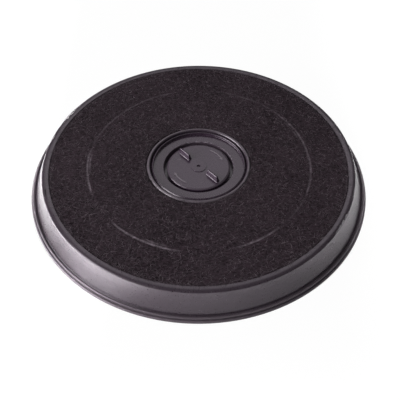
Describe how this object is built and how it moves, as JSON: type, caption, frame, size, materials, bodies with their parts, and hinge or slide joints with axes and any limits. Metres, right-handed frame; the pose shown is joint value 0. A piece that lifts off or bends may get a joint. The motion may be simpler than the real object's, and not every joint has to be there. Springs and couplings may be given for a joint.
{
  "type": "cooker hood carbon filter",
  "caption": "Round charcoal filter cartridge for a cooker hood: felt face, leaning wall and flange, grille on the motor side, and a finned lock knob that turns in the hub.",
  "frame": {"origin": "on the cartridge's axis, at the underside of the rim, which is the face that the cartridge stands on", "axes": "+Z along the cartridge's axis, out of the felt face; the grip fins of the knob lie at 132 degrees from +X at rest"},
  "size_m": [0.235, 0.235, 0.0207],
  "materials": {
    "housing_plastic": "satin moulded, near black",
    "cover_plastic": "satin moulded, near black",
    "hub_plastic": "satin moulded, dark grey",
    "knob_plastic": "satin moulded, dark grey",
    "ring_plastic": "plain moulded, dark grey",
    "felt": "needled felt, near black, with paler fibres",
    "charcoal_granules": "loose granules, dull black"
  },
  "bodies": {
    "cartridge": {"housing": "housing_plastic", "face_felt": "felt", "carbon_bed": "charcoal_granules", "motor_side_felt": "felt", "bottom_cover": "cover_plastic", "hub_seat": "hub_plastic"},
    "knob": {"lock_knob": "knob_plastic", "retaining_ring": "ring_plastic"}
  },
  "joints": [
    {"name": "knob_turn", "type": "hinge", "parent": "cartridge", "child": "knob", "pos_m": [0, 0, 0.0118], "axis": [0, 0, -1], "range_deg": [0, 90]}
  ]
}
